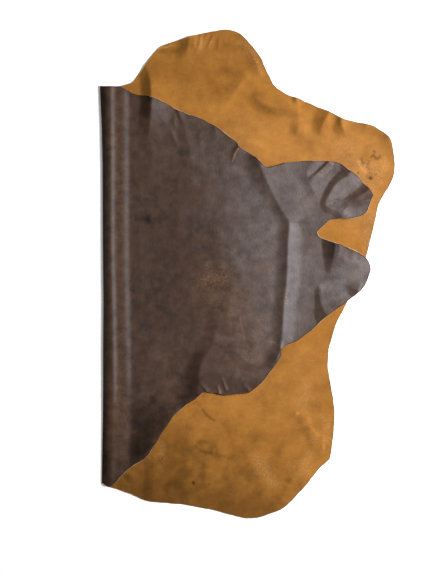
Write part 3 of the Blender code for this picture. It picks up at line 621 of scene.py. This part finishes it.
def creaseField(x, y, layer):
    # Height that the creases of one layer add, and whether the mesh should be fine there.
    total, fine = np.zeros(len(x)), np.zeros(len(x), bool)
    for name, leftHollow, rightHollow, rows in creases[layer]:
        path = through(rows, hideSettings["crestStep"])
        reach = path[:, 3:].max() + 10
        low, high = path[:, :2].min(0) - reach, path[:, :2].max(0) + reach
        near = (x > low[0]) & (x < high[0]) & (y > low[1]) & (y < high[1])
        away, height, toe = ridge(x[near], y[near], path, leftHollow, rightHollow)
        total[near] += height
        fine[near] |= (away < hideSettings["crestBand"]) | (toe < hideSettings["toeBand"])
    return total, fine


def strokeWeight(x, y, stroke, ragged):
    # 1 within a stroke falling softly to 0 round it, and whether a small one is near.
    best, fine = np.zeros(len(x)), np.zeros(len(x), bool)
    wider, margin = hideSettings["markMargin"]
    if len(stroke) == 1:
        stroke = stroke * 2
    for (ax, ay, ar), (bx, by, br) in zip(stroke[:-1], stroke[1:]):
        long = max(1.0, (bx - ax) ** 2 + (by - ay) ** 2)
        t = np.clip(((x - ax) * (bx - ax) + (y - ay) * (by - ay)) / long, 0, 1)
        reach = ar + t * (br - ar)
        away = np.hypot(x - ax - t * (bx - ax), y - ay - t * (by - ay))
        away = away * (1 + (ragged - 1) * np.minimum(1, reach / hideSettings["markRagged"]))
        best = np.maximum(best, np.clip(1 + hideSettings["markFull"] - away / reach, 0, 1))
        if ar < hideSettings["smallMark"]:
            fine |= away < ar * wider + margin
    return best * best * (3 - 2 * best), fine


def markField(x, y, layer):
    # How the marks of one layer change colour and gloss, how scuffed it is, and where the
    # mesh should be fine.
    looks = {"tone": np.ones(len(x)), "gloss": np.zeros(len(x)), "scuffed": np.zeros(len(x))}
    fine = np.zeros(len(x), bool)
    ragged = unevenness("mark", x, y)
    for rows in marks[layer].values():
        for lighter, glossier, stroke in rows:
            soft, near = strokeWeight(x, y, stroke, ragged)
            looks["tone"] *= 1 + lighter * soft
            looks["gloss"] += glossier * soft
            fine |= near
    for amount, stroke in scuffs[layer]:
        soft, near = strokeWeight(x, y, stroke, ragged)
        looks["scuffed"] = np.maximum(looks["scuffed"], amount * soft)
        fine |= near
    return looks, fine


def cutLean(rim):
    # How far the knife leaned, in mm, along the cut edge.
    s, y = rim.T
    x = foldPlace(s, y)[0]
    least, most = hideSettings["bevel"]
    lean = least + (most - least) * np.clip(unevenness("cut lean", s, y), 0, 1)
    for layer, cuts in leanCuts.items():
        onLayer = (s < 0) == (layer == "flap")
        for name, more, stroke in cuts:
            lean += np.where(onLayer, (more - 1) * strokeWeight(x, y, stroke, 1)[0], 0)
    return lean


def roundFold(start, end, rise):
    # The cut edge where it runs round the fold, with the worn corner there.
    count = int(abs(end[0] - start[0]) / hideSettings["cornerStep"])
    places = [(start[0] + (end[0] - start[0]) * t, start[1] + (end[1] - start[1]) * t)
              for t in np.arange(1, count) / count]
    return [(s, y + rise * math.exp(-(s / hideSettings["cornerReach"]) ** 2)) for s, y in places]


def hideOutline():
    # The hide's cut edge spread out flat, with the knife's slight unevenness, and the way
    # out from it.
    lower = [(flatS(x, False), y) for stretch, points in lowerEdge for x, y in points]
    flap = [(flatS(x, True), y) for stretch, points in flapEdge for x, y in points]
    butt, neck = hideSettings["cornerRise"]
    corners = (roundFold(lower[-1], flap[0], butt), roundFold(flap[-1], lower[0], neck))
    rim = through(lower + corners[0] + flap + corners[1], hideSettings["rimStep"], closed=True)
    walk = np.roll(rim, -1, axis=0) - np.roll(rim, 1, axis=0)
    out = np.stack((-walk[:, 1], walk[:, 0]), 1) / np.linalg.norm(walk, axis=1)[:, None]
    return rim + out * unevenness("cut line", rim[:, 0], rim[:, 1])[:, None], out


def within(x, y, edge):
    # Which points lie inside a closed outline.
    odd = np.zeros(len(x), bool)
    for (x0, y0), (x1, y1) in zip(edge, np.roll(edge, -1, axis=0)):
        if y0 != y1:
            odd ^= ((y0 > y) != (y1 > y)) & (x < x0 + (y - y0) * (x1 - x0) / (y1 - y0))
    return odd


def pointTree(points):
    tree = kdtree.KDTree(len(points))
    for index, point in enumerate(points):
        tree.insert((point[0], point[1], 0), index)
    tree.balance()
    return tree


def clearOf(points, others, gap):
    # The points that lie more than gap from all the others.
    tree = pointTree(others)
    return np.array([p for p in points if tree.find((p[0], p[1], 0))[2] > gap])


def netPoints(rim):
    # A net of points for the flat hide: finest at creases, coarsest where the flap hides it.
    step, rowShare = hideSettings["netStep"], math.sqrt(0.75)
    low, high = rim.min(0) - step, rim.max(0) + step
    rows = np.arange(int(low[1] / step / rowShare), int(high[1] / step / rowShare) + 1)
    columns = np.arange(int(low[0] / step) - len(rows), int(high[0] / step) + len(rows))
    i, j = (net.ravel() for net in np.meshgrid(columns, rows))
    x, y = (i + j / 2) * step, j * step * rowShare
    flapEnd, lowerEnd = hideSettings["rollZone"]
    possible = (x > low[0]) & (x < high[0]) & ((x < flapEnd) | (x > lowerEnd))
    i, j, x, y = (values[possible] for values in (i, j, x, y))
    inside = within(x, y, rim)
    i, j, x, y = (values[inside] for values in (i, j, x, y))
    planX = foldPlace(x, y)[0]
    fine = creaseField(planX, y, "lower")[1] | ((x < 0) & creaseField(planX, y, "flap")[1])
    fine |= np.where(x < 0, markField(planX, y, "flap")[1], markField(planX, y, "lower")[1])
    hiddenFrom, hiddenIn = hideSettings["hidden"]
    flap = np.array([point for stretch, points in flapEdge for point in points], float)
    hidden = (x > hiddenFrom) & within(planX + hiddenIn, y, flap)
    fine &= ~hidden
    keep = fine | ((i % 2 == 0) & (j % 2 == 0) & ~hidden) | ((i % 4 == 0) & (j % 4 == 0))
    return np.stack((x, y), 1)[keep]


def rollPoints(rim):
    # A closer net for the tight part of the fold, in rows along it.
    across, along = hideSettings["rollStep"]
    low, high = rim[:, 1].min() - hideSettings["netStep"], rim[:, 1].max() + hideSettings["netStep"]
    roll = np.array([(s, y) for y in np.arange(low, high, along)
                     for s in np.arange(*hideSettings["rollZone"], across)])
    return roll[within(roll[:, 0], roll[:, 1], rim)]


def flatPoints(rim, out):
    inner = clearOf(rim - out * hideSettings["innerRow"], rim, hideSettings["innerGap"])
    halfway = (rim + np.roll(rim, -1, axis=0)) / 2
    net = np.vstack((netPoints(rim), rollPoints(rim)))
    return np.vstack((inner, clearOf(net, np.vstack((rim, halfway, inner)), hideSettings["netGap"])))


def flatMesh(rim, points):
    # Triangles over the flat hide, all wound the same way round, and its size and area.
    flat = [Vector(point) for point in np.vstack((rim, points))]
    made = delaunay_2d_cdt(flat, [], [list(range(len(rim)))], 1, 1e-4)
    flat = np.array([tuple(point) for point in made[0]])
    faces = np.array([tuple(face) for face in made[2]])
    a, b, c = (flat[faces[:, k]] for k in range(3))
    ab, ac = b - a, c - a
    twice = ab[:, 0] * ac[:, 1] - ab[:, 1] * ac[:, 0]
    faces[twice < 0] = faces[twice < 0][:, ::-1]      # flesh side out
    return flat, faces, flat.max(0) - flat.min(0), 0.5 * np.abs(twice).sum()


def edgeCurl(flat, rim):
    # How far the hide curls up near its cut edge.
    lift = np.clip(unevenness("edge curl", rim[:, 0], rim[:, 1]), 0, hideSettings["curlHeight"])
    tree = pointTree(rim)
    curl = np.zeros(len(flat))
    for index, point in enumerate(flat):
        nearest, away = tree.find((point[0], point[1], 0))[1:]
        curl[index] = lift[nearest] * max(0.0, 1 - away / hideSettings["curlReach"]) ** 2
    return curl


def layHide(flat, rim):
    # The folded sheet's middle surface, with its creases, undulations and curled edges.
    s, y = flat.T
    x, z = foldPlace(s, y)
    onFlap = s < 0
    curl = edgeCurl(flat, rim)
    piled, rise, looks = 0, {}, {}
    for layer in ("lower", "flap"):      # the flap lies on the lower layer's creases
        start, over = hideSettings[layer + "Rises"]
        piled = piled + (creaseField(x, y, layer)[0] + np.maximum(0, unevenness(layer, x, y)))
        rise[layer] = (piled + curl) * np.clip((x - start) / over, 0, 1)
        looks[layer] = markField(x, y, layer)[0]
    z = z + np.where(onFlap, rise["flap"], rise["lower"])
    looks = {look: np.where(onFlap, looks["flap"][look], looks["lower"][look]) for look in looks["flap"]}
    return np.stack((x, y, z), 1), looks


def vertexNormals(points, faces):
    a, b, c = (points[faces[:, k]] for k in range(3))
    face = np.cross(b - a, c - a)
    normals = np.zeros_like(points)
    for k in range(3):
        np.add.at(normals, faces[:, k], face)
    return normals / np.linalg.norm(normals, axis=1)[:, None]


def thickSheet(points, faces, leaned, onFlap):
    # The flesh side's points and then the grain side's, and the quads of the cut edge. The
    # knife leaned in on whichever side is up.
    normals = vertexNormals(points, faces)
    half = hideSettings["thickness"] / 2
    flesh = points + normals * half
    grain = points - normals * half
    ring = np.arange(len(leaned))
    grain[ring[onFlap]] = (leaned - normals[ring] * half)[onFlap]
    flesh[ring[~onFlap]] = (leaned + normals[ring] * half)[~onFlap]
    grain[:, 2] = np.maximum(grain[:, 2], 0)
    count, onward = len(points), np.roll(ring, -1)
    return np.vstack((flesh, grain)), np.stack((ring, ring + count, onward + count, onward), 1)


def hideMesh(corners, faces, sides, flat, looks):
    # The closed sheet with its three finishes, its flat pattern as UVs and its marks.
    count = len(flat)
    mesh = bpy.data.meshes.new("foldedHide")
    polygons = faces.tolist() + (faces[:, ::-1] + count).tolist() + sides.tolist()
    mesh.from_pydata(corners.tolist(), [], polygons)
    for build in (fleshSuede, pullUpGrain, rawCutEdge):
        mesh.materials.append(build())
    slots = np.repeat((0, 1, 2), (len(faces), len(faces), len(sides))).astype(np.int32)
    mesh.polygons.foreach_set("material_index", slots)
    loops = np.zeros(len(mesh.loops), np.int32)
    mesh.loops.foreach_get("vertex_index", loops)
    uv = mesh.uv_layers.new(name="flatHide")
    uv.uv.foreach_set("vector", (flat[loops % count] * mm).astype(np.float32).ravel())
    for name, values in looks.items():
        layer = mesh.attributes.new(name, "FLOAT", "POINT")
        layer.data.foreach_set("value", np.tile(values[:count], 2).astype(np.float32))
    mesh.shade_smooth()
    mesh.polygons.foreach_set("use_smooth", slots < 2)      # a crisp cut edge
    mesh.update()
    return mesh


def makeHide():
    # The hide is cut flat, folded, given its thickness and moved to the middle of its box.
    rim, out = hideOutline()
    print("cut edge:", len(rim), "points")
    flat, faces, size, area = flatMesh(rim, flatPoints(rim, out))
    print("flat hide:", len(flat), "points, size", size.round(), "mm, area", round(area * mm * mm, 3))
    leaned = rim - out * cutLean(rim)[:, None]
    points, looks = layHide(np.vstack((flat, leaned)), rim)
    middle = (points.min(0) + points.max(0)) / 2
    boxMiddle = np.array([(a + b) / 2 / mm for a, b in zip(*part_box("hide"))])
    points[:, :2] += boxMiddle[:2] - middle[:2]
    corners, sides = thickSheet(points[:len(flat)], faces, points[len(flat):], rim[:, 0] < 0)
    mesh = hideMesh(corners * mm, faces, sides, flat, looks)
    piece = bpy.data.objects.new("foldedHide", mesh)
    bpy.context.scene.collection.objects.link(piece)
    print("folded hide:", len(mesh.polygons), "faces,", len(mesh.materials), "finishes")
    return piece, size * mm, float(area * mm * mm)


def linear(hexColour):
    # An sRGB hex colour as the linear RGBA that shaders take.
    parts = [int(hexColour[k:k + 2], 16) / 255 for k in (1, 3, 5)]
    return [p / 12.92 if p <= 0.04045 else ((p + 0.055) / 1.055) ** 2.4 for p in parts] + [1]


def perMetre(size):
    # Texture scale of a pattern whose features are size millimetres across.
    return 1000 / size


def put(tree, kind, inputs=None, **settings):
    node = tree.nodes.new(kind)
    for name, value in settings.items():
        setattr(node, name, value)
    for name, value in (inputs or {}).items():
        if isinstance(value, bpy.types.NodeSocket):
            tree.links.new(value, node.inputs[name])
        else:
            node.inputs[name].default_value = value
    return node


def newMaterial(name):
    material = bpy.data.materials.new(name)
    material.use_nodes = True
    material.node_tree.nodes.clear()
    return material, material.node_tree


def leatherPatterns(tree, use):
    # Places on the flat hide, and the noises that a side of it is drawn with there.
    patterns = {"place": put(tree, "ShaderNodeUVMap", uv_map="flatHide").outputs["UV"]}
    for name, (size, detail, rough) in use["patterns"].items():
        noise = put(tree, "ShaderNodeTexNoise", {"Vector": patterns["place"], "Scale": perMetre(size),
                                                 "Detail": detail, "Roughness": rough})
        patterns[name] = noise.outputs["Fac"]
    return patterns


def leatherColour(tree, patterns, use):
    # Cloudy colour, lighter and darker at the marks (some of them painted shade and painted light), with
    # bare specks where it is scuffed.
    base = linear(use["dark"])
    for name, low, high, colour in use["clouds"]:
        share = put(tree, "ShaderNodeMapRange", {"Value": patterns[name], 1: low, 2: high}).outputs[0]
        base = put(tree, "ShaderNodeMix", {0: share, 6: base, 7: linear(use[colour])},
                   data_type="RGBA").outputs[2]
    tone = put(tree, "ShaderNodeAttribute", attribute_name="tone").outputs["Fac"]
    for name, low, high, least, most in use["shades"]:
        shade = put(tree, "ShaderNodeMapRange", {"Value": patterns[name], 1: low, 2: high, 3: least,
                                                 4: most}).outputs[0]
        tone = put(tree, "ShaderNodeMath", {0: tone, 1: shade}, operation="MULTIPLY").outputs[0]
    base = put(tree, "ShaderNodeVectorMath", {0: base, "Scale": tone}, operation="SCALE").outputs[0]
    name, low, high = use["specks"]
    specks = put(tree, "ShaderNodeMapRange", {"Value": patterns[name], 1: low, 2: high}).outputs[0]
    scuffed = put(tree, "ShaderNodeAttribute", attribute_name="scuffed").outputs["Fac"]
    specks = put(tree, "ShaderNodeMath", {0: specks, 1: scuffed}, operation="MULTIPLY").outputs[0]
    return put(tree, "ShaderNodeMix", {0: specks, 6: base, 7: linear(use["bare"])},
               data_type="RGBA").outputs[2]


pullUpSettings = {
    "dark": "#322217", "mid": "#3e2b1e", "light": "#4a3526", "bare": "#8c6847",
    # size in mm, detail and roughness of each noise
    "patterns": {"cloud": (150, 3, 0.5), "mottle": (34, 5, 0.6), "speckle": (9, 2, 0.5),
                 "scrape": (5, 2, 0.5)},
    "pore": 5.0,      # mm; real pores are about 1 mm, drawn coarser to show
    # where a noise runs from low to high the colour turns to the next one
    "clouds": (("cloud", 0.35, 0.65, "mid"), ("mottle", 0.37, 0.66, "light")),
    "shades": (),     # noises that lighten or darken it: name, low, high, least, most
    "specks": ("scrape", 0.52, 0.66),
    "wax": 0.115,     # gloss where no mark changes it
    "waxCover": ("mottle", 0.3, 0.7, 0.8, 1.15),
    "roughness": 0.65, "ior": 1.5, "specular": 0.15,
    "coatRoughness": 0.58, "coatIor": 1.75,
    "bump": {"Strength": 0.35, "Distance": 0.0006},
}


def pullUpGrain():
    # Waxed pull-up leather, aniline dyed: dark warm brown with a cloudy surface, greyer
    # and glossier where the wax lies thick, paler and tan where it is rubbed off. Its marks also carry
    # painted shade and painted light.
    use = pullUpSettings
    material, tree = newMaterial("pull-up leather grain")
    patterns = leatherPatterns(tree, use)
    base = leatherColour(tree, patterns, use)
    gloss = put(tree, "ShaderNodeAttribute", attribute_name="gloss").outputs["Fac"]
    waxed = put(tree, "ShaderNodeMath", {0: gloss, 1: use["wax"]}, operation="ADD",
                use_clamp=True).outputs[0]
    name, low, high, least, most = use["waxCover"]
    share = put(tree, "ShaderNodeMapRange", {"Value": patterns[name], 1: low, 2: high, 3: least,
                                             4: most}).outputs[0]
    waxed = put(tree, "ShaderNodeMath", {0: waxed, 1: share}, operation="MULTIPLY",
                use_clamp=True).outputs[0]
    pore = put(tree, "ShaderNodeTexVoronoi", {"Vector": patterns["place"],
                                              "Scale": perMetre(use["pore"])}, feature="F1")
    height = put(tree, "ShaderNodeMath", {0: pore.outputs["Distance"], 1: patterns["speckle"]},
                 operation="ADD").outputs[0]
    bump = put(tree, "ShaderNodeBump", {"Height": height, **use["bump"]}).outputs[0]
    shader = put(tree, "ShaderNodeBsdfPrincipled", {
        "Base Color": base, "Roughness": use["roughness"], "Normal": bump, "IOR": use["ior"],
        "Specular IOR Level": use["specular"], "Coat Weight": waxed, "Coat IOR": use["coatIor"],
        "Coat Roughness": use["coatRoughness"], "Coat Normal": bump})
    put(tree, "ShaderNodeOutputMaterial", {"Surface": shader.outputs[0]})
    return material


fleshSettings = {
    "dark": "#7d501f", "mid": "#96632a", "light": "#ac7432", "bare": "#cda878",
    # size in mm, detail and roughness of each noise; real fibres are finer than 1 mm, drawn
    # coarser to show
    "patterns": {"cloud": (190, 4, 0.5), "patch": (60, 6, 0.55), "nap": (16, 4, 0.6),
                 "fibre": (5, 3, 0.6)},
    "clouds": (("cloud", 0.28, 0.72, "mid"), ("patch", 0.22, 0.78, "light")),
    "shades": (("nap", 0.25, 0.75, 0.93, 1.07), ("fibre", 0.25, 0.75, 0.89, 1.11)),
    "specks": ("fibre", 0.44, 0.66),
    "roughness": 0.95, "ior": 1.5, "specular": 0.06,
    "coatRoughness": 0.7, "coatIor": 1.75,
    "sheen": 0.05, "sheenRoughness": 0.5, "sheenTint": "#e8d8c0",
    "bump": {"Strength": 0.4, "Distance": 0.0008},
}


def fleshSuede():
    # The flesh side, split and sanded: a matt ochre nap with darker and paler patches where
    # the fibres lie differently. Its marks also carry painted shade and painted light.
    use = fleshSettings
    material, tree = newMaterial("flesh side suede")
    patterns = leatherPatterns(tree, use)
    base = leatherColour(tree, patterns, use)
    gloss = put(tree, "ShaderNodeAttribute", attribute_name="gloss").outputs["Fac"]
    bump = put(tree, "ShaderNodeBump", {"Height": patterns["fibre"], **use["bump"]}).outputs[0]
    shader = put(tree, "ShaderNodeBsdfPrincipled", {
        "Base Color": base, "Roughness": use["roughness"], "Normal": bump, "IOR": use["ior"],
        "Specular IOR Level": use["specular"], "Coat Weight": gloss, "Coat IOR": use["coatIor"],
        "Coat Roughness": use["coatRoughness"], "Sheen Weight": use["sheen"],
        "Sheen Roughness": use["sheenRoughness"], "Sheen Tint": linear(use["sheenTint"])})
    put(tree, "ShaderNodeOutputMaterial", {"Surface": shader.outputs[0]})
    return material


cutEdgeSettings = {
    "dark": "#7d5730", "light": "#dcc3a0",
    "patterns": {"fibre": (14, 4, 0.5)},      # size in mm, detail and roughness
    "roughness": 0.85, "ior": 1.5, "specular": 0.3,
}


def rawCutEdge():
    # The raw edge that the knife left: pale tan fibre, a little darker in places.
    use = cutEdgeSettings
    material, tree = newMaterial("raw cut edge")
    patterns = leatherPatterns(tree, use)
    base = put(tree, "ShaderNodeMix", {0: patterns["fibre"], 6: linear(use["dark"]),
                                       7: linear(use["light"])}, data_type="RGBA").outputs[2]
    shader = put(tree, "ShaderNodeBsdfPrincipled", {"Base Color": base, "Roughness": use["roughness"],
                                                    "IOR": use["ior"],
                                                    "Specular IOR Level": use["specular"]})
    put(tree, "ShaderNodeOutputMaterial", {"Surface": shader.outputs[0]})
    return material


studioSettings = {
    "floor": "#fbfaf6",
    "floorRoughness": 0.9,
    "floorReach": 6.0,                  # metres from the middle
    "floorLevel": -0.0004,              # just under the hide
    "glow": 0.28,                       # the table is a lit white one, which keeps its shadows thin
    "cameraPlace": (-0.1088, -0.051, 6.0),
    "sensor": 36,                       # mm
    "viewHeight": 2.02,                 # metres from the top of the view to its bottom
    "lightPlace": (2.54, 0.4, 3.06),
    "lightSize": 1.2,
    "lightPower": 265,
    "lightColour": (0.98, 0.985, 1.06),      # daylight, a little cool
    "world": 0.07,
}


def makeCamera(use):
    lens = bpy.data.cameras.new("camera")
    lens.sensor_width = use["sensor"]
    lens.lens = use["sensor"] * use["cameraPlace"][2] / use["viewHeight"]
    camera = bpy.data.objects.new("camera", lens)
    camera.location = use["cameraPlace"]
    bpy.context.scene.collection.objects.link(camera)
    bpy.context.scene.camera = camera


def makeLight(use):
    # One large softbox to the right, turned to the middle of the hide, and a faint sky.
    lamp = bpy.data.lights.new("keySoftbox", "AREA")
    lamp.color = use["lightColour"]
    lamp.size = use["lightSize"]
    lamp.energy = use["lightPower"]
    holder = bpy.data.objects.new("keySoftbox", lamp)
    holder.location = use["lightPlace"]
    holder.rotation_euler = (-Vector(use["lightPlace"])).to_track_quat("-Z", "Y").to_euler()
    holder.visible_camera = False
    bpy.context.scene.collection.objects.link(holder)
    world = bpy.data.worlds.new("studio")
    world.use_nodes = True
    world.node_tree.nodes["Background"].inputs["Color"].default_value = (1, 1, 1, 1)
    world.node_tree.nodes["Background"].inputs["Strength"].default_value = use["world"]
    bpy.context.scene.world = world


def makeFloor(use):
    # Matt white paper: an even ground with no reflections.
    reach, level = use["floorReach"], use["floorLevel"]
    mesh = bpy.data.meshes.new("floor")
    mesh.from_pydata([(-reach, -reach, level), (reach, -reach, level), (reach, reach, level),
                      (-reach, reach, level)], [], [(0, 1, 2, 3)])
    material, tree = newMaterial("matt paper floor")
    shader = put(tree, "ShaderNodeBsdfPrincipled", {
        "Base Color": linear(use["floor"]), "Roughness": use["floorRoughness"],
        "Emission Color": linear(use["floor"]), "Emission Strength": use["glow"]})
    put(tree, "ShaderNodeOutputMaterial", {"Surface": shader.outputs[0]})
    mesh.materials.append(material)
    floor = bpy.data.objects.new("floor", mesh)
    bpy.context.scene.collection.objects.link(floor)


bpy.context.scene.view_settings.view_transform = "Standard"
makeCamera(studioSettings)
makeLight(studioSettings)
makeFloor(studioSettings)
print("studio: camera, light and floor are in place")
hide, flatSize, flatArea = makeHide()
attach(hide, "root")
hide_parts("hide")
